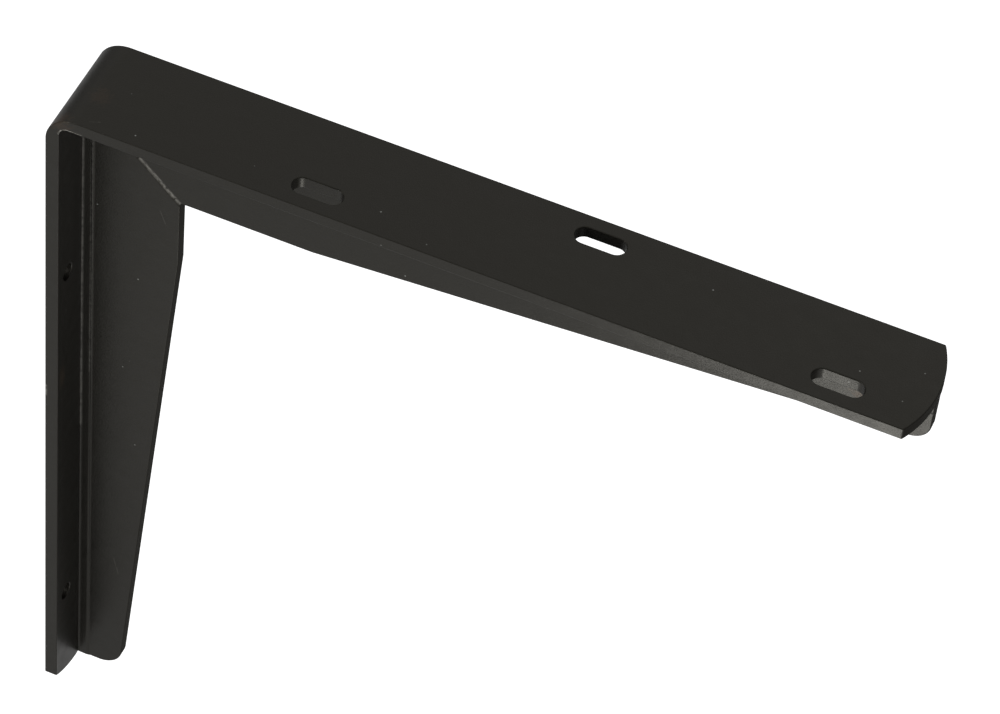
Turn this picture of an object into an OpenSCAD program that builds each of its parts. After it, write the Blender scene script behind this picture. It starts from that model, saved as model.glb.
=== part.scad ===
// A shelf bracket bent from one length of T-section bar.
// The web is notched at the corner, the flange is bent through a right angle,
// and the two halves of the web meet in a mitre seam.
// X points out from the wall, Z points up, and the flange's width runs along Y.
// The origin is the centre of the wall leg's back face.

/* [Legs] */
// Length of the shelf leg, from the wall face to the tip
shelf_len = 307; // [220:1:480]
// Length of the wall leg, from the shelf face down to the foot
wall_len = 308; // [220:1:480]
// Inside radius of the bend in the flange
bend_r = 3.5; // [1:0.5:4.5]
// Outside radius of the bend, where the bar is stretched thinner
bend_out = 12; // [7:0.5:14]

/* [Flange] */
// Width of the flange
flange_w = 40; // [37:1:60]
// Thickness of the flange
flange_t = 5; // [4:0.1:6]
// How far the curved tip of the shelf leg stands out at its middle
tip_bow = 5; // [2:0.5:12]
// How far the curved foot of the wall leg stands out at its middle
foot_bow = 6; // [2:0.5:12]

/* [Web] */
// Thickness of the web
web_t = 4.6; // [3:0.1:7]
// How far the web stands off the middle of the flange, towards +Y
web_off = 0.6; // [-1.5:0.1:1.5]
// Full depth of the web, from the flange's outer face to the web's free edge
web_depth = 41.3; // [32:0.1:60]
// Start of the taper on the shelf leg, from the wall face
shelf_taper = 90; // [62:1:160]
// Start of the taper on the wall leg, from the shelf face
wall_taper = 71; // [62:1:160]
// Depth of the web at the tip of the shelf leg
tip_depth = 22.5; // [18:0.5:31]
// Depth of the web at the foot of the wall leg
foot_depth = 22; // [18:0.5:31]
// Radius of the web's corner at the tip of the shelf leg
tip_corner_r = 7.5; // [2:0.5:12]
// Radius of the web's corner at the foot of the wall leg
foot_corner_r = 9.5; // [2:0.5:12]
// Height of the thicker strip along the root of the web, above the flange
root_h = 3.3; // [2:0.1:6]
// How far the root strip stands out from each side of the web
root_step = 0.3; // [0.2:0.05:1]
// Width of the slope between the root strip and the web
root_slope = 1.2; // [0.6:0.1:2]

/* [Mitre seam] */
// Width of the groove along the seam
seam_w = 1.4; // [0.6:0.1:2.5]
// Depth of the groove along the seam
seam_d = 0.8; // [0.3:0.1:1.2]

/* [Slots in the shelf leg] */
// Number of slots
slot_count = 3; // [2:1:4]
// Length of each slot, end to end
slot_len = 18; // [10:0.5:26]
// Width of each slot
slot_w = 7.2; // [4.5:0.1:9]
// Centre of the first slot, from the wall face
slot_first = 94.5; // [60:0.5:100]
// Centre of the last slot, from the middle of the tip
slot_last = 30.5; // [20:0.5:60]
// Distance of the slots from the middle of the flange
slot_side = 11; // [8.5:0.1:12.5]

/* [Holes in the wall leg] */
// Number of holes
hole_count = 3; // [2:1:4]
// Diameter of each hole
hole_d = 6.4; // [4:0.1:9]
// Centre of the first hole, from the shelf face
hole_first = 83; // [40:1:100]
// Centre of the last hole, from the middle of the foot
hole_last = 49; // [20:1:60]
// Distance of the holes from the middle of the flange
hole_side = 12.5; // [8.5:0.1:13]

/* [Hidden] */
$fn = 96;
// Extra length of a cutting body past the face it cuts
past = 1;
// Height of the shelf face above the origin
shelf_z = wall_len / 2;
// Where the web's edge runs inside the flange, and its mitred corner inside the bend
core = flange_t / 2;
core_corner = (flange_t + (bend_out + bend_r) * (1 - 1 / sqrt(2))) / 2;
// Depth of the root strip, from the flange's outer face
root_depth = flange_t + root_h;
// Start of the seam along each leg
seam_start = root_depth + root_slope;
// Steps from one slot, and from one hole, to the next
slot_pitch = (shelf_len - slot_last - slot_first) / (slot_count - 1);
hole_pitch = (wall_len - hole_last - hole_first) / (hole_count - 1);

// A plate of thickness t that stands on the middle plane, with its outline in X and Z.
module upright_plate(t) {
    rotate([90, 0, 0]) linear_extrude(t, center = true) children();
}

// The area below and in front of a corner that is rounded to radius r.
module corner_area(r) {
    translate([r, -r]) circle(r);
    translate([r, -wall_len]) square([shelf_len - r, wall_len]);
    translate([0, -wall_len]) square([shelf_len, wall_len - r]);
}

// The flange of both legs, bent at the corner.
module flange() {
    upright_plate(flange_w)
        difference() {
            corner_area(bend_out);
            translate([flange_t, -flange_t]) corner_area(bend_r);
        }
}

// One leg's half of the web: mitred at the corner, then full depth, then tapered to a rounded end.
module web(len, taper_start, end_depth, corner_r) {
    slope = atan((web_depth - end_depth) / (len - taper_start));
    corner_z = -end_depth + corner_r * (1 - sin(slope)) / cos(slope);
    upright_plate(web_t) {
        polygon([
            [core_corner, -core_corner],
            [bend_out, -core],
            [len, -core],
            [len, corner_z],
            [len - corner_r * (1 - sin(slope)), corner_z - corner_r * cos(slope)],
            [taper_start, -web_depth],
            [web_depth, -web_depth]
        ]);
        translate([len - corner_r, corner_z]) circle(corner_r);
    }
}

// The thicker strip along the root of one leg's web: it slopes down to the web and is mitred like it.
module root_strip(len) {
    half = web_t / 2;
    intersection() {
        rotate([90, 0, 90])
            linear_extrude(len)
                polygon([
                    [-half - root_step, -core],
                    [half + root_step, -core],
                    [half + root_step, -root_depth],
                    [half, -root_depth - root_slope],
                    [-half, -root_depth - root_slope],
                    [-half - root_step, -root_depth]
                ]);
        upright_plate(web_t + 2 * root_step + 2 * past)
            polygon([
                [core_corner, -core_corner],
                [bend_out, -core],
                [len, -core],
                [len, -web_depth],
                [web_depth, -web_depth]
            ]);
    }
}

// What is cut away beyond a leg's curved end.
module end_waste(len, bow) {
    end_r = (flange_w ^ 2 / 4 + bow ^ 2) / (2 * bow);
    difference() {
        translate([len - bow, -flange_w / 2 - past, -web_depth])
            cube([bow + past, flange_w + 2 * past, web_depth + past]);
        translate([len - end_r, 0, -web_depth - past])
            cylinder(r = end_r, h = web_depth + 3 * past);
    }
}

// One leg's half of the web with its root strip, lying along X.
module leg_web(len, taper_start, end_depth, corner_r) {
    translate([0, web_off, 0]) {
        web(len, taper_start, end_depth, corner_r);
        root_strip(len);
    }
}

// Turns what lies along X into what hangs down the wall.
module as_wall_leg() {
    mirror([1, 0, 1]) children();
}

// Side of the flange for the i-th slot or hole: they alternate, beginning at the -Y side.
function side(i) = i % 2 == 0 ? -1 : 1;

// The slots through the shelf leg's flange.
module slots() {
    for (i = [0 : slot_count - 1])
        translate([slot_first + i * slot_pitch, side(i) * slot_side, -flange_t - past])
            linear_extrude(flange_t + 2 * past) {
                square([slot_len - slot_w, slot_w], center = true);
                for (end = [-1, 1])
                    translate([end * (slot_len - slot_w) / 2, 0]) circle(d = slot_w);
            }
}

// The round holes through a flange that lies along X.
module holes() {
    for (i = [0 : hole_count - 1])
        translate([hole_first + i * hole_pitch, side(i) * hole_side, -flange_t - past])
            cylinder(d = hole_d, h = flange_t + 2 * past);
}

// The groove along the mitre seam, on both faces of the web. The shelf leg's side of the groove
// is upright and the wall leg's side slopes.
module seam() {
    seam_len = (web_depth - seam_start) * sqrt(2) + past;
    for (face = [-1, 1])
        translate([seam_start, web_off + face * web_t / 2, -seam_start])
            rotate([0, 135, 0])
                linear_extrude(seam_len)
                    polygon([[0, face * past], [0, -face * seam_d], [seam_w, 0], [seam_w, face * past]]);
}

module bracket() {
    color([0.13, 0.125, 0.12])
        translate([0, 0, shelf_z])
            difference() {
                union() {
                    flange();
                    leg_web(shelf_len, shelf_taper, tip_depth, tip_corner_r);
                    as_wall_leg() leg_web(wall_len, wall_taper, foot_depth, foot_corner_r);
                }
                end_waste(shelf_len, tip_bow);
                as_wall_leg() end_waste(wall_len, foot_bow);
                slots();
                as_wall_leg() holes();
                seam();
            }
}

bracket();
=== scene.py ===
# %% [markdown]
# # A black shelf bracket
# The real object is one length of T-section steel bar. Its web is notched, its flange is bent through
# a right angle, the notch is closed along a mitre seam, and the whole is painted satin black.
# The script brings in the solid that was made for it, from model.glb. The solid could simply be coloured,
# but its edges are knife sharp, so the lesson builds the same form again with softer, painted edges and
# dresses it.
# The solid is kept, hidden.

import math

import bmesh
import bpy
from mathutils import Matrix, Vector


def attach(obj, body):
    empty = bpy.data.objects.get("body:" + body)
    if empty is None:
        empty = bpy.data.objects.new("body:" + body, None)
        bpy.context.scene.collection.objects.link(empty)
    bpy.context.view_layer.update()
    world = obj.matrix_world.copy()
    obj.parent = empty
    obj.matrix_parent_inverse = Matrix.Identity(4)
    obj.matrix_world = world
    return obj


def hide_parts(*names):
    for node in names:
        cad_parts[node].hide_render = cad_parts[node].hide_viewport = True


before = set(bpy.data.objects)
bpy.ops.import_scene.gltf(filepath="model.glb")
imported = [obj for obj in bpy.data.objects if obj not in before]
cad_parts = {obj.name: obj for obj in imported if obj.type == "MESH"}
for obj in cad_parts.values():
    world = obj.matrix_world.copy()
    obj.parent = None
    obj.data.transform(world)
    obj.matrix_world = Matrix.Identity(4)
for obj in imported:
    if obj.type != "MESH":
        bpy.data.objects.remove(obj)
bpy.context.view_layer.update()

# %% [markdown]
# ## Sizes
# Every size is the bracket's own, in millimetres, as a maker would write it on a drawing. One factor
# turns them into Blender's metres. Lengths along a leg start at the corner where the wall face and the
# shelf face would meet, and the origin lies halfway down the wall leg.

# %% Name the sizes
MM = 0.001
SHELF_LEN, WALL_LEN = 307.0, 308.0
BEND_R, BEND_OUT = 3.5, 12.0
FLANGE_W, FLANGE_T = 40.0, 5.0
WEB_T, WEB_DEPTH, WEB_OFF = 4.6, 41.3, 0.6
SHELF_TAPER, WALL_TAPER = 90.0, 71.0
TIP_DEPTH, TIP_CORNER_R = 22.5, 7.5
FOOT_DEPTH, FOOT_CORNER_R = 22.0, 9.5
ROOT_H, ROOT_STEP, ROOT_SLOPE = 3.3, 0.3, 1.2
TIP_BOW, FOOT_BOW = 5.0, 6.0
SEAM_W, SEAM_D = 1.4, 0.8
SLOT_LEN, SLOT_W, SLOT_SIDE = 18.0, 7.2, 11.0
SLOT_FIRST, SLOT_LAST = 94.5, 30.5
HOLE_D, HOLE_SIDE = 6.4, 12.5
HOLE_FIRST, HOLE_LAST = 83.0, 49.0

SHELF_Z = WALL_LEN / 2
FLANGE_HALF = FLANGE_W / 2
WEB_HALF = WEB_T / 2
ROOT_DEPTH = FLANGE_T + ROOT_H
SEAM_START = ROOT_DEPTH + ROOT_SLOPE
CORE = FLANGE_T / 2
CORE_CORNER = (FLANGE_T + (BEND_OUT + BEND_R) * (1 - 1 / math.sqrt(2))) / 2
print("shelf face stands", SHELF_Z, "mm above the origin")

# %% [markdown]
# ## From a flat leg to its place
# Both legs are the same bar, so each part is first described on a leg that lies along X, with its outer
# face up and its depth downwards. A wall leg is that leg mirrored across the mitre line.

# %% Place points of a leg
def on_shelf(along, side, depth):
    return Vector((along, side, SHELF_Z - depth)) * MM


def on_wall(along, side, depth):
    return Vector((depth, side, SHELF_Z - along)) * MM


print("tip of the shelf leg:", on_shelf(SHELF_LEN, 0, 0))
print("foot of the wall leg:", on_wall(WALL_LEN, 0, 0))

# %% [markdown]
# ## Closed solids to build with
# A stack joins rings of points one above the other and closes both ends, and a prism is a stack of two.
# They make the flange, the web, the strip at its root and every tool that cuts. Faces are turned
# outwards, because a boolean needs to know which side is inside.

# %% Make stacks, prisms and arcs
def new_object(name, bm):
    bmesh.ops.recalc_face_normals(bm, faces=bm.faces)
    mesh = bpy.data.meshes.new(name)
    bm.to_mesh(mesh)
    bm.free()
    obj = bpy.data.objects.new(name, mesh)
    bpy.context.collection.objects.link(obj)
    return obj


def stack(name, rings):
    bm = bmesh.new()
    rings = [[bm.verts.new(p) for p in ring] for ring in rings]
    count = len(rings[0])
    for a, b in zip(rings, rings[1:]):
        for i in range(count):
            j = (i + 1) % count
            bm.faces.new((a[i], a[j], b[j], b[i]))
    bm.faces.new(rings[0])
    bm.faces.new(rings[-1][::-1])
    return new_object(name, bm)


def prism(name, lower, upper):
    return stack(name, [lower, upper])


def arc(centre, radius, start, end, steps):
    return [
        (centre[0] + radius * math.cos(a), centre[1] + radius * math.sin(a))
        for a in (math.radians(start + (end - start) * i / steps) for i in range(steps + 1))
    ]


print("a quarter round in 4 steps has", len(arc((0, 0), 1, 0, 90, 4)), "points")

# %% [markdown]
# ## The flange
# The flange is a flat bar bent at the corner. Two bars and a quarter ring could be joined, but one
# outline from the side, pushed through the bar's width, leaves no seams. The outside of the bend is
# rounder than the inside, and both ends run on a little, because they are cropped to a curve later.

# %% Make the flange
BEND_STEPS = 32
OVERRUN = 4.0


def flange_outline():
    outer = arc((BEND_OUT, BEND_OUT), BEND_OUT, 180, 270, BEND_STEPS)
    inner = arc((FLANGE_T + BEND_R, FLANGE_T + BEND_R), BEND_R, 270, 180, BEND_STEPS // 2)
    tip, foot = SHELF_LEN + OVERRUN, WALL_LEN + OVERRUN
    return [(0, foot)] + outer + [(tip, 0), (tip, FLANGE_T)] + inner + [(FLANGE_T, foot)]


flange_faces = [[on_shelf(x, side, d) for x, d in flange_outline()] for side in (-FLANGE_HALF, FLANGE_HALF)]
bracket = prism("painted_bracket", *flange_faces)
print("flange faces:", len(bracket.data.polygons))

# %% [markdown]
# ## The web and its root
# The web stiffens the bend. It is full depth near the corner and tapers to a rounded nose at each end.
# The rolled bar is a little thicker where the web grows out of the flange, which shows as a low step.
# A box could be cut to shape, but both forms are known from the side, so each is a stack of closed
# outlines that run out along the shelf leg, back to the inner corner and round the wall leg.

# %% Make the web and the root strip
CORNER_STEPS = 20


def leg_outline(length, taper_start, end_depth, corner_r):
    slope = math.atan((WEB_DEPTH - end_depth) / (length - taper_start))
    nose = end_depth - corner_r * (1 - math.sin(slope)) / math.cos(slope)
    corner = arc((length - corner_r, nose), corner_r, 0, 90 - math.degrees(slope), CORNER_STEPS)
    return [(length, CORE)] + corner + [(taper_start, WEB_DEPTH)]


def root_outline(length, depth):
    return [(length, CORE), (length, depth)]


def ring(side, shelf_points, wall_points, inner):
    side += WEB_OFF
    points = [on_shelf(CORE_CORNER, side, CORE_CORNER), on_shelf(BEND_OUT, side, CORE)]
    points += [on_shelf(a, side, d) for a, d in shelf_points]
    points += [on_shelf(inner, side, inner)]
    points += [on_wall(a, side, d) for a, d in reversed(wall_points)]
    return points + [on_wall(BEND_OUT, side, CORE)]


def root_ring(side, depth):
    return ring(side, root_outline(SHELF_LEN, depth), root_outline(WALL_LEN, depth), depth)


shelf_side = leg_outline(SHELF_LEN, SHELF_TAPER, TIP_DEPTH, TIP_CORNER_R)
wall_side = leg_outline(WALL_LEN, WALL_TAPER, FOOT_DEPTH, FOOT_CORNER_R)
web = stack("web", [ring(side, shelf_side, wall_side, WEB_DEPTH) for side in (-WEB_HALF, WEB_HALF)])
root = stack(
    "root",
    [
        root_ring(-WEB_HALF - ROOT_STEP, ROOT_DEPTH),
        root_ring(-WEB_HALF, ROOT_DEPTH + ROOT_SLOPE),
        root_ring(WEB_HALF, ROOT_DEPTH + ROOT_SLOPE),
        root_ring(WEB_HALF + ROOT_STEP, ROOT_DEPTH),
    ],
)
print("web faces:", len(web.data.polygons), "and root faces:", len(root.data.polygons))

# %% [markdown]
# ## The cuts
# Both ends of the bar are cropped to a shallow curve. The slots and holes are punched straight through
# the flange, alternately on one side of the web and the other. A shallow groove on both sides of the
# web marks the seam. Each cut is a solid tool that reaches a little past the metal it takes away.

# %% Shape the cutting tools
ROUND_STEPS, END_STEPS = 48, 40
PAST = 1.0


def end_tool(name, put, length, bow):
    radius = (FLANGE_W**2 / 4 + bow**2) / (2 * bow)
    spread = math.degrees(math.asin((FLANGE_HALF + PAST) / radius))
    curve = arc((length - radius, 0), radius, -spread, spread, END_STEPS)
    outline = curve + [(length + 2 * OVERRUN, FLANGE_W), (length + 2 * OVERRUN, -FLANGE_W)]
    return prism(name, *[[put(a, s, d) for a, s in outline] for d in (-PAST, WEB_DEPTH)])


def round_tool(name, put, along, side, length, width):
    reach = (length - width) / 2
    if reach > 0:
        outline = arc((along + reach, side), width / 2, -90, 90, ROUND_STEPS // 2)
        outline += arc((along - reach, side), width / 2, 90, 270, ROUND_STEPS // 2)
    else:
        outline = arc((along, side), width / 2, 0, 360, ROUND_STEPS)[:-1]
    return prism(name, *[[put(a, s, d) for a, s in outline] for d in (-PAST, FLANGE_T + PAST)])


def seam_tool(name, face):
    diagonal = 1 / math.sqrt(2)
    outline = [(0, face * PAST), (0, -face * SEAM_D), (SEAM_W, 0), (SEAM_W, face * PAST)]
    surface = WEB_OFF + face * WEB_HALF
    rings = []
    for start in (SEAM_START, WEB_DEPTH + PAST):
        rings.append([on_shelf(start - a * diagonal, surface + s, start + a * diagonal) for a, s in outline])
    return stack(name, rings)


def staggered(first, last, side):
    return [(first, -side), ((first + last) / 2, side), (last, -side)]


slots = staggered(SLOT_FIRST, SHELF_LEN - SLOT_LAST, SLOT_SIDE)
holes = staggered(HOLE_FIRST, WALL_LEN - HOLE_LAST, HOLE_SIDE)
tools = [
    end_tool("tip_tool", on_shelf, SHELF_LEN, TIP_BOW),
    end_tool("foot_tool", on_wall, WALL_LEN, FOOT_BOW),
]
tools += [round_tool("slot_tool", on_shelf, along, side, SLOT_LEN, SLOT_W) for along, side in slots]
tools += [round_tool("hole_tool", on_wall, along, side, HOLE_D, HOLE_D) for along, side in holes]
tools += [seam_tool("seam_tool", face) for face in (-1, 1)]
print("cutting tools:", len(tools))

# %% [markdown]
# ## One closed body
# The real bracket is one piece of steel, so its parts are joined into one mesh and the tools are taken
# away from it. The exact solver is slower than the fast one, but it copes with faces that touch.

# %% Join and cut
def combine(target, tool, operation):
    mod = target.modifiers.new(operation.lower(), "BOOLEAN")
    mod.operation = operation
    mod.object = tool
    mod.solver = "EXACT"
    with bpy.context.temp_override(object=target, active_object=target):
        bpy.ops.object.modifier_apply(modifier=mod.name)
    bpy.data.objects.remove(tool)


combine(bracket, web, "UNION")
combine(bracket, root, "UNION")
for tool in tools:
    combine(bracket, tool, "DIFFERENCE")
print("faces after the cuts:", len(bracket.data.polygons))

# %% [markdown]
# ## Painted edges
# Paint pulls back from a sharp edge and pools in a corner, so no edge of the real bracket is sharp. A
# bevel with a weight for each edge rounds the punched edges lightly, and fills the root a little more.
# Each weight is a share of the widest bevel, and follows from where the edge lies: at the root, on the
# strip's step, in the seam's groove, or elsewhere. Places are compared with a little slack.

# %% Round the edges
BEVEL = 1.2
ROUND_WEIGHT, STEP_WEIGHT, SEAM_WEIGHT, ROOT_WEIGHT = 0.38, 0.2, 0.1, 1.0
BEVEL_SEGMENTS = 3
SHARP, FLAT = math.radians(10), math.radians(0.5)
SAME_POINT = 1e-6
NEAR = 0.1
ROOT_REACH, SEAM_REACH, WEB_RIM = 1.2, 1.6 * SEAM_W, 0.5


def edge_weight(edge):
    x, y, z = (edge.verts[0].co + edge.verts[1].co) / 2 / MM
    along, depth = max(x, SHELF_Z - z), min(x, SHELF_Z - z)
    past_web = abs(y - WEB_OFF) - WEB_HALF
    if past_web < ROOT_STEP + NEAR and FLANGE_T - NEAR < depth < FLANGE_T + ROOT_REACH:
        return ROOT_WEIGHT
    if past_web > ROOT_STEP + NEAR:
        return ROUND_WEIGHT
    if ROOT_DEPTH - NEAR < depth < SEAM_START + NEAR:
        return STEP_WEIGHT
    on_seam = along - depth < SEAM_REACH and past_web > -SEAM_D - NEAR
    if on_seam and SEAM_START < depth < WEB_DEPTH - WEB_RIM:
        return SEAM_WEIGHT
    return ROUND_WEIGHT


bm = bmesh.new()
bm.from_mesh(bracket.data)
bmesh.ops.remove_doubles(bm, verts=bm.verts, dist=SAME_POINT)
bmesh.ops.dissolve_limit(bm, angle_limit=FLAT, verts=bm.verts, edges=bm.edges)
weights = bm.edges.layers.float.new("bevel_weight_edge")
for edge in bm.edges:
    if len(edge.link_faces) == 2 and edge.calc_face_angle() > SHARP:
        edge[weights] = edge_weight(edge)
open_edges = sum(len(e.link_faces) != 2 for e in bm.edges)
bm.to_mesh(bracket.data)
bm.free()
bevel = bracket.modifiers.new("painted edges", "BEVEL")
bevel.limit_method = "WEIGHT"
bevel.width = BEVEL * MM
bevel.segments = BEVEL_SEGMENTS
bevel.use_clamp_overlap = False
bevel.harden_normals = True
for face in bracket.data.polygons:
    face.use_smooth = True
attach(bracket, "root")
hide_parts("bracket")
print("open edges:", open_edges)

# %% [markdown]
# ## Nodes in few words
# A shader is a chain of small steps. Nodes can be placed by hand in the editor, but a short helper that
# adds one node and fills or links its inputs keeps each chain readable in a script. A group is a chain
# with a name, and inputs and outputs of its own, so that it can be placed again with other values.

# %% Add nodes and groups
NOISE_MEAN = 0.5


def add(tree, kind, inputs=None, **settings):
    made = tree.nodes.new("ShaderNode" + kind)
    for key, value in settings.items():
        setattr(made, key, value)
    for key, value in (inputs or {}).items():
        if isinstance(value, bpy.types.NodeSocket):
            tree.links.new(value, made.inputs[key])
        else:
            made.inputs[key].default_value = value
    return made


def math_node(tree, operation, first, second=0.0, clamp=False):
    return add(tree, "Math", {0: first, 1: second}, operation=operation, use_clamp=clamp).outputs[0]


def open_group(name, inputs, outputs):
    tree = bpy.data.node_groups.new(name, "ShaderNodeTree")
    for label, kind in inputs:
        tree.interface.new_socket(label, in_out="INPUT", socket_type="NodeSocket" + kind)
    for label, kind in outputs:
        tree.interface.new_socket(label, in_out="OUTPUT", socket_type="NodeSocket" + kind)
    return tree, tree.nodes.new("NodeGroupInput").outputs, tree.nodes.new("NodeGroupOutput").inputs


print("node groups so far:", len(bpy.data.node_groups))

# %% [markdown]
# ## The grain of the paint
# Sprayed paint dries as a fine sandy skin over a slow ripple. Two noises of very different size are
# added as heights, and the bump that reads them tilts the surface without adding any faces.

# %% Group: paint grain
grain, given, result = open_group(
    "paint grain",
    [
        ("Vector", "Vector"),
        ("Grain per Metre", "Float"),
        ("Ripple per Metre", "Float"),
        ("Ripple Share", "Float"),
    ],
    [("Height", "Float"), ("Ripple", "Float")],
)
fine = add(grain, "TexNoise", {"Vector": given["Vector"], "Scale": given["Grain per Metre"], "Detail": 2.0})
slow = add(grain, "TexNoise", {"Vector": given["Vector"], "Scale": given["Ripple per Metre"], "Detail": 1.0})
raised = math_node(grain, "MULTIPLY", slow.outputs[0], given["Ripple Share"])
grain.links.new(math_node(grain, "ADD", fine.outputs[0], raised), result["Height"])
grain.links.new(slow.outputs[0], result["Ripple"])
print("grain nodes:", len(grain.nodes))

# %% [markdown]
# ## Dust
# A few pale specks of dust sit in the paint. Cells scattered by a Voronoi texture each hold one point,
# and a random number for each cell decides whether its point is shown, so the specks stay sparse.

# %% Group: specks
specks, given, result = open_group(
    "specks",
    [("Vector", "Vector"), ("Cells per Metre", "Float"), ("Size", "Float"), ("Share", "Float")],
    [("Mask", "Float")],
)
cells = add(specks, "TexVoronoi", {"Vector": given["Vector"], "Scale": given["Cells per Metre"]})
chance = add(specks, "SeparateColor", {"Color": cells.outputs["Color"]}).outputs[0]
to_point = cells.outputs["Distance"]
speck = add(specks, "MapRange", {"Value": to_point, "From Min": given["Size"], "From Max": 0.0}).outputs[0]
shown = math_node(specks, "LESS_THAN", chance, given["Share"])
specks.links.new(math_node(specks, "MULTIPLY", speck, shown), result["Mask"])
print("speck nodes:", len(specks.nodes))

# %% [markdown]
# ## Stains at one place
# A stain has a place and a size. An image could hold it, but a formula stays sharp at any distance. The
# group measures how far a point of the surface is from the stain's centre, lets a noise fray the edge,
# and gives a mask that is 1 in the middle.

# %% Group: stain
FRAY_PER_METRE, STAIN_CORE = 900.0, 0.3

stain, given, result = open_group(
    "stain",
    [("Vector", "Vector"), ("Centre", "Vector"), ("Reach", "Vector"), ("Fray", "Float")],
    [("Mask", "Float")],
)
away = add(stain, "VectorMath", {0: given["Vector"], 1: given["Centre"]}, operation="SUBTRACT").outputs[0]
ratio = add(stain, "VectorMath", {0: away, 1: given["Reach"]}, operation="DIVIDE").outputs[0]
distance = add(stain, "VectorMath", {0: ratio}, operation="LENGTH").outputs["Value"]
noise = {"Vector": given["Vector"], "Scale": FRAY_PER_METRE, "Detail": 3.0}
ragged = math_node(stain, "SUBTRACT", add(stain, "TexNoise", noise).outputs[0], NOISE_MEAN)
frayed = math_node(stain, "MULTIPLY", ragged, given["Fray"])
rim = {"Value": math_node(stain, "ADD", distance, frayed), "From Min": 1.0, "From Max": STAIN_CORE}
inside = add(stain, "MapRange", rim, interpolation_type="SMOOTHSTEP").outputs[0]
stain.links.new(inside, result["Mask"])
print("stain nodes:", len(stain.nodes))

# %% [markdown]
# ## Pale lines: painted highlights and wear
# A painted highlight along a seam or an edge is a line, and a scratch is a short line as well. The group
# finds the nearest point of a straight stretch and gives a mask that fades with the distance from it. A
# noise breaks the line up, because wear is never even, and the painted glints are speckled too.

# %% Group: pale line for painted highlights and wear
BREAKS_PER_METRE = 700.0
UNBROKEN_FROM, UNBROKEN_FULL = 0.3, 0.6

line, given, result = open_group(
    "wear and highlight line",
    [
        ("Vector", "Vector"),
        ("Start", "Vector"),
        ("Direction", "Vector"),
        ("Length", "Float"),
        ("Width", "Float"),
    ],
    [("Mask", "Float")],
)
away = add(line, "VectorMath", {0: given["Vector"], 1: given["Start"]}, operation="SUBTRACT").outputs[0]
run = add(line, "VectorMath", {0: away, 1: given["Direction"]}, operation="DOT_PRODUCT").outputs["Value"]
run = math_node(line, "MINIMUM", math_node(line, "MAXIMUM", run, 0.0), given["Length"])
foot = add(line, "VectorMath", {0: given["Direction"], "Scale": run}, operation="SCALE").outputs[0]
gap = add(line, "VectorMath", {0: away, 1: foot}, operation="DISTANCE").outputs["Value"]
inside = add(line, "MapRange", {"Value": gap, "From Min": given["Width"], "From Max": 0.0}).outputs[0]
noise = {"Vector": given["Vector"], "Scale": BREAKS_PER_METRE, "Detail": 3.0}
ragged = add(line, "TexNoise", noise).outputs[0]
unbroken = add(line, "MapRange", {"Value": ragged, "From Min": UNBROKEN_FROM, "From Max": UNBROKEN_FULL}).outputs[0]
line.links.new(math_node(line, "MULTIPLY", inside, unbroken), result["Mask"])
print("line nodes:", len(line.nodes))

# %% [markdown]
# ## Satin black paint
# The paint is almost black and slightly warm, with a broad soft shine of low strength. Numbers that are
# the same all over are set on the shader's own sockets. What changes over the surface is linked later.
# All of it reads the bracket's own coordinates, so the paint stays with the bracket.

# %% Start the paint
BLACK = (0.0062, 0.0056, 0.0046, 1)
SHINE_TINT = (1.0, 0.96, 0.82, 1)
SHINE_LEVEL = 0.2

paint = bpy.data.materials.new("satin_black_paint")
paint.use_nodes = True
tree = paint.node_tree
shader = tree.nodes["Principled BSDF"]
shader.inputs["Specular IOR Level"].default_value = SHINE_LEVEL
shader.inputs["Specular Tint"].default_value = SHINE_TINT
here = add(tree, "TexCoord").outputs


def use(group, **inputs):
    made = tree.nodes.new("ShaderNodeGroup")
    made.node_tree = group
    tree.links.new(here["Object"], made.inputs["Vector"])
    for key, value in inputs.items():
        made.inputs[key.replace("_", " ")].default_value = value
    return made.outputs


def mix(factor, first, second):
    made = add(tree, "Mix", data_type="RGBA")
    for socket, value in zip((made.inputs[0], made.inputs[6], made.inputs[7]), (factor, first, second)):
        if isinstance(value, bpy.types.NodeSocket):
            tree.links.new(value, socket)
        else:
            socket.default_value = value
    return made.outputs[2]


print("paint is", BLACK[:3], "before any wear")

# %% [markdown]
# ## Stains
# The paint's shade drifts a little with its ripple. Warm brown stains lie inside the wall leg, on the
# web under the last slot, and in two places at the bend. An image would need the bracket unwrapped, so
# each stain is given by its centre, its reach along the three axes, both in millimetres, and a strength.

# %% Lay the ripple and the stains
BROWN = (0.055, 0.032, 0.019, 1)
LIGHTER, FRAY = 1.15, 1.6
STAINS = [
    ((5.0, -16.5, 20.4), (3.0, 3.0, 7.0), 0.2),
    ((282.5, -3.0, 144.0), (5.0, 5.0, 7.0), 0.9),
    ((5.0, -18.5, 151.0), (7.0, 4.0, 4.0), 0.3),
    ((13.0, -5.0, 154.0), (5.0, 5.0, 3.0), 0.15),
]

skin = use(grain, Grain_per_Metre=2000.0, Ripple_per_Metre=160.0, Ripple_Share=1.5)
colour = mix(skin["Ripple"], BLACK, tuple(LIGHTER * c for c in BLACK[:3]) + (1,))
for place, reach, strength in STAINS:
    found = use(stain, Centre=[v * MM for v in place], Reach=[v * MM for v in reach], Fray=FRAY)["Mask"]
    colour = mix(math_node(tree, "MULTIPLY", found, strength), colour, BROWN)
print("stains:", len(STAINS))
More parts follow.
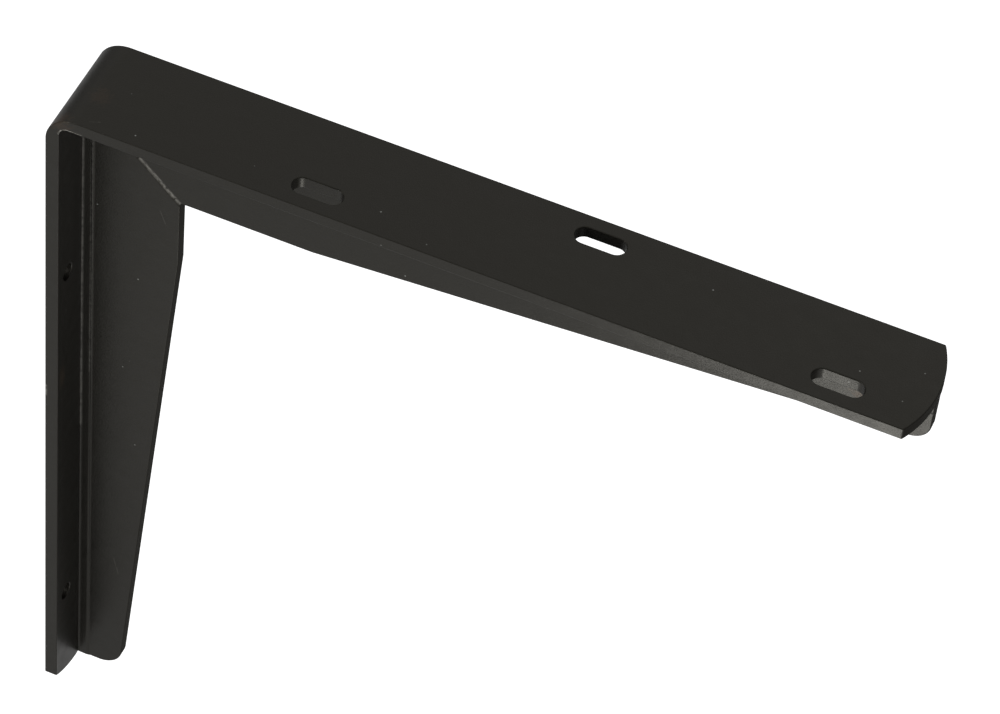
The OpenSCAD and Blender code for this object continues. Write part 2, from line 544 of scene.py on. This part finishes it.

# %% [markdown]
# ## Painted highlights, wear and dust
# A painted highlight runs along most of the seam, where its chamfer catches the light. Painted glints on the
# front edge of the inner bend and down the root strip are drawn as pale lines too, because the lamps alone
# leave them too dark. One short stretch of the back edge is drawn pale, and three scratches lie on the web
# and beside the bend. Each line has a start, an end and a width in millimetres, and a strength, which is
# easier to move than a painted mask. Dust of two sizes lies over everything.

# %% Add pale lines (painted highlights and wear) and dust
# One pale colour serves the painted highlights and glints, the pale back edge and the scratches.
WEAR_AND_HIGHLIGHT, DUST = (0.52, 0.50, 0.45, 1), (0.32, 0.33, 0.31, 1)
# Painted highlight along most of the seam, where its chamfer catches the light.
SEAM_HIGHLIGHT = ((11.8, -1.2, 141.9), (41.0, -1.2, 112.7), 1.25, 0.6)
# Painted glints on the front edge of the inner bend.
BEND_GLINTS = [
    ((5.1, -19.9, 146.4), (6.1, -19.9, 148.0), 0.7, 1.0),
    ((6.1, -19.9, 148.0), (8.0, -19.9, 149.0), 0.8, 1.0),
    ((8.0, -19.9, 149.0), (13.0, -19.9, 149.0), 0.7, 1.0),
]
# Painted highlights on the root fillet and on the strip's step.
ROOT_GLINTS = [
    ((5.2, -2.1, 143.0), (5.2, -2.1, -20.0), 0.8, 0.12),
    ((8.5, -1.8, 140.0), (8.5, -1.8, 10.0), 0.7, 0.12),
]
# A short pale stretch on the back edge of the wall leg.
PALE_BACK_EDGE = ((0.3, -20.0, 17.0), (0.3, -20.0, 12.0), 0.8, 0.35)
SCRATCHES = [
    ((34.0, -1.7, 106.0), (36.4, -1.7, 99.5), 0.3, 0.06),
    ((19.0, -1.7, -90.0), (21.0, -1.7, -98.0), 0.3, 0.06),
    ((15.0, -17.0, 154.0), (18.0, -15.6, 154.0), 0.3, 0.06),
]

wear_and_highlight_lines = [SEAM_HIGHLIGHT, *BEND_GLINTS, *ROOT_GLINTS, PALE_BACK_EDGE, *SCRATCHES]
for start, end, width, strength in wear_and_highlight_lines:
    start, end = Vector(start) * MM, Vector(end) * MM
    way = end - start
    found = use(line, Start=start, Direction=way.normalized(), Length=way.length, Width=width * MM)["Mask"]
    colour = mix(math_node(tree, "MULTIPLY", found, strength), colour, WEAR_AND_HIGHLIGHT)
dust = use(specks, Cells_per_Metre=190.0, Size=0.07, Share=0.05)["Mask"]
fluff = use(specks, Cells_per_Metre=420.0, Size=0.16, Share=0.006)["Mask"]
colour = mix(math_node(tree, "MAXIMUM", dust, fluff), colour, DUST)
tree.links.new(colour, shader.inputs["Base Color"])
print("rubbed lines:", len(wear_and_highlight_lines))

# %% [markdown]
# ## Roughness and grain
# The sheared ends of the bar took the paint less smoothly than the rolled faces, so they are rougher.
# They face away from the wall, and they lie beyond the inner face of the wall leg, which faces the same
# way but is rolled. The grain group's height goes through a bump, which is enough for so fine a skin.

# %% Finish the paint
FACE_ROUGH, CUT_ROUGH = 0.36, 0.9
CUT_BEYOND, CUT_FROM, CUT_FULL = 15.0, 0.5, 0.8
UNEVEN_ROUGH = 0.12
GRAIN_DEPTH = 0.06

facing = add(tree, "SeparateXYZ", {0: here["Normal"]}).outputs
along = add(tree, "SeparateXYZ", {0: here["Object"]}).outputs
cut = add(tree, "MapRange", {"Value": facing[0], "From Min": CUT_FROM, "From Max": CUT_FULL}).outputs[0]
cut = math_node(tree, "MULTIPLY", cut, math_node(tree, "GREATER_THAN", along[0], CUT_BEYOND * MM))
rough = add(tree, "MapRange", {"Value": cut, "To Min": FACE_ROUGH, "To Max": CUT_ROUGH}).outputs[0]
uneven = math_node(tree, "MULTIPLY", math_node(tree, "SUBTRACT", skin["Ripple"], NOISE_MEAN), UNEVEN_ROUGH)
tree.links.new(math_node(tree, "ADD", rough, uneven, clamp=True), shader.inputs["Roughness"])
bump = add(tree, "Bump", {"Height": skin["Height"], "Distance": GRAIN_DEPTH * MM, "Strength": 1.0})
tree.links.new(bump.outputs[0], shader.inputs["Normal"])
bracket.data.materials.clear()
bracket.data.materials.append(paint)
print("paint nodes:", len(tree.nodes))

# %% [markdown]
# ## Floor
# The bracket hangs above a plain pale floor. The floor's glow is seen by camera, glossy and
# transmission rays alone: it makes the background white and shows in the paint's shine, yet adds no
# light of its own to the bracket. To glossy rays the floor is bright only in front, and dims towards
# the bracket and behind it, because a black object in an all-white room looks grey.

# %% Lay the floor
FLOOR_Z, FLOOR_SIZE = -0.45, 12.0
FLOOR_GLOW = 0.75
FLOOR_PALE = (0.79, 0.81)
FLOOR_ROUGH, SPOTS_PER_METRE = 0.9, 40.0
DIM_Y, BRIGHT_Y, DIM_SHARE = -0.1, -0.6, 0.1


def seen_directly(tree, path):
    seen = math_node(tree, "ADD", path["Is Camera Ray"], path["Is Glossy Ray"])
    return math_node(tree, "ADD", seen, path["Is Transmission Ray"], clamp=True)


pale = bpy.data.materials.new("pale_floor")
pale.use_nodes = True
tree = pale.node_tree
base = tree.nodes["Principled BSDF"]
base.inputs["Roughness"].default_value = FLOOR_ROUGH
base.inputs["Specular IOR Level"].default_value = 0.0
spots = add(tree, "TexNoise", {"Scale": SPOTS_PER_METRE}).outputs[0]
tint = add(tree, "MapRange", {"Value": spots, "To Min": FLOOR_PALE[0], "To Max": FLOOR_PALE[1]}).outputs[0]
tree.links.new(tint, base.inputs["Base Color"])
path = add(tree, "LightPath").outputs
depth = add(tree, "SeparateXYZ", {0: add(tree, "TexCoord").outputs["Object"]}).outputs[1]
fade = {"Value": depth, "From Min": DIM_Y, "From Max": BRIGHT_Y, "To Min": DIM_SHARE}
shade = math_node(tree, "MAXIMUM", add(tree, "MapRange", fade).outputs[0], path["Is Camera Ray"])
glow = math_node(tree, "MULTIPLY", math_node(tree, "MULTIPLY", seen_directly(tree, path), FLOOR_GLOW), shade)
light = add(tree, "Emission", {"Strength": glow}).outputs[0]
both = add(tree, "AddShader", {0: base.outputs[0], 1: light}).outputs[0]
tree.links.new(both, tree.nodes["Material Output"].inputs["Surface"])

bpy.ops.mesh.primitive_plane_add(size=FLOOR_SIZE, location=(0, 0, FLOOR_Z))
floor = bpy.context.object
floor.name = "floor"
floor.data.materials.append(pale)
print("floor lies", -FLOOR_Z, "m below the origin")

# %% [markdown]
# ## Sky
# The world is a white sky to the camera. It lights the bracket from all round with a lower strength,
# so that the shadows in the corner aren't quite black. Glossy rays see it fade towards the horizon,
# for the same reason as the floor.

# %% Make the sky
SKY_LIGHT, CLEAR_HEIGHT = 0.5, 0.6

world = bpy.data.worlds.new("studio")
bpy.context.scene.world = world
world.use_nodes = True
sky = world.node_tree
path = add(sky, "LightPath").outputs
height = add(sky, "SeparateXYZ", {0: add(sky, "TexCoord").outputs["Generated"]}).outputs[2]
haze = add(sky, "MapRange", {"Value": height, "From Max": CLEAR_HEIGHT, "To Min": DIM_SHARE}).outputs[0]
bright = math_node(sky, "MAXIMUM", haze, path["Is Camera Ray"])
levels = {"Value": seen_directly(sky, path), "To Min": SKY_LIGHT, "To Max": bright}
sky.nodes["Background"].inputs["Color"].default_value = (1, 1, 1, 1)
sky.links.new(add(sky, "MapRange", levels).outputs[0], sky.nodes["Background"].inputs["Strength"])
print("sky lights the bracket with strength", SKY_LIGHT)

# %% [markdown]
# ## Lamps
# A dark satin surface shows its lamps as broad sheens. One soft lamp behind and above lights the shelf
# face, one at the front left lights the sides of both legs, and a small one low in front of the tip
# makes the long edge brighten towards the end of the shelf leg. Point lamps would leave hard spots.

# %% Hang the lamps
def softbox(name, place, aim, size, power):
    data = bpy.data.lights.new(name, "AREA")
    data.shape = "SQUARE"
    data.size = size
    data.energy = power
    lamp = bpy.data.objects.new(name, data)
    lamp.location = place
    lamp.rotation_euler = (Vector(place) - Vector(aim)).to_track_quat("Z", "Y").to_euler()
    bpy.context.collection.objects.link(lamp)
    print(name, "gives", power, "W")


softbox("back_top", place=(0.3, 1.5, 1.5), aim=(0.15, 0, 0), size=1.0, power=1.5)
softbox("front_left", place=(-0.55, -0.55, 0.45), aim=(0.1, 0, 0.1), size=0.4, power=3.1)
softbox("tip", place=(0.26, -0.3, -0.16), aim=(0.26, 0, 0.14), size=0.16, power=0.8)

# %% [markdown]
# ## Camera
# A long lens from above and to the right shows the shelf face, the near side of both legs and the inside
# of the corner. The camera is given by where it looks, how far off it stands, and three angles, which is
# easier to adjust than a matrix. The roll tips it a little, so that the wall leg stands upright in view.

# %% Place the camera
AZIMUTH, ELEVATION, ROLL = math.radians(18.67), math.radians(48.69), math.radians(6.21)
DISTANCE, TARGET = 1.5999, Vector((0.15921, 0.0, 0.0941))
SENSOR_WIDTH, LENS = 36.0, 172.8

back = Vector(
    (math.sin(AZIMUTH) * math.cos(ELEVATION), -math.cos(AZIMUTH) * math.cos(ELEVATION), math.sin(ELEVATION))
)
level = (-back).cross(Vector((0, 0, 1))).normalized()
rise = level.cross(-back)
right = math.cos(ROLL) * level + math.sin(ROLL) * rise
up = -math.sin(ROLL) * level + math.cos(ROLL) * rise
camera_data = bpy.data.cameras.new("camera")
camera_data.sensor_fit = "HORIZONTAL"
camera_data.sensor_width = SENSOR_WIDTH
camera_data.lens = LENS
camera = bpy.data.objects.new("camera", camera_data)
turn = Matrix((right, up, back)).transposed().to_4x4()
camera.matrix_world = Matrix.Translation(TARGET + back * DISTANCE) @ turn
bpy.context.collection.objects.link(camera)
bpy.context.scene.camera = camera
bpy.context.scene.view_settings.view_transform = "Standard"
print("camera stands at", tuple(round(v, 3) for v in camera.matrix_world.translation))

# %% [markdown]
# ## Finish
# The dressed bracket must fill the same box as the solid it stands for. The view layer is brought
# up to date at the end.

# %% Bring the view layer up to date
bpy.context.view_layer.update()
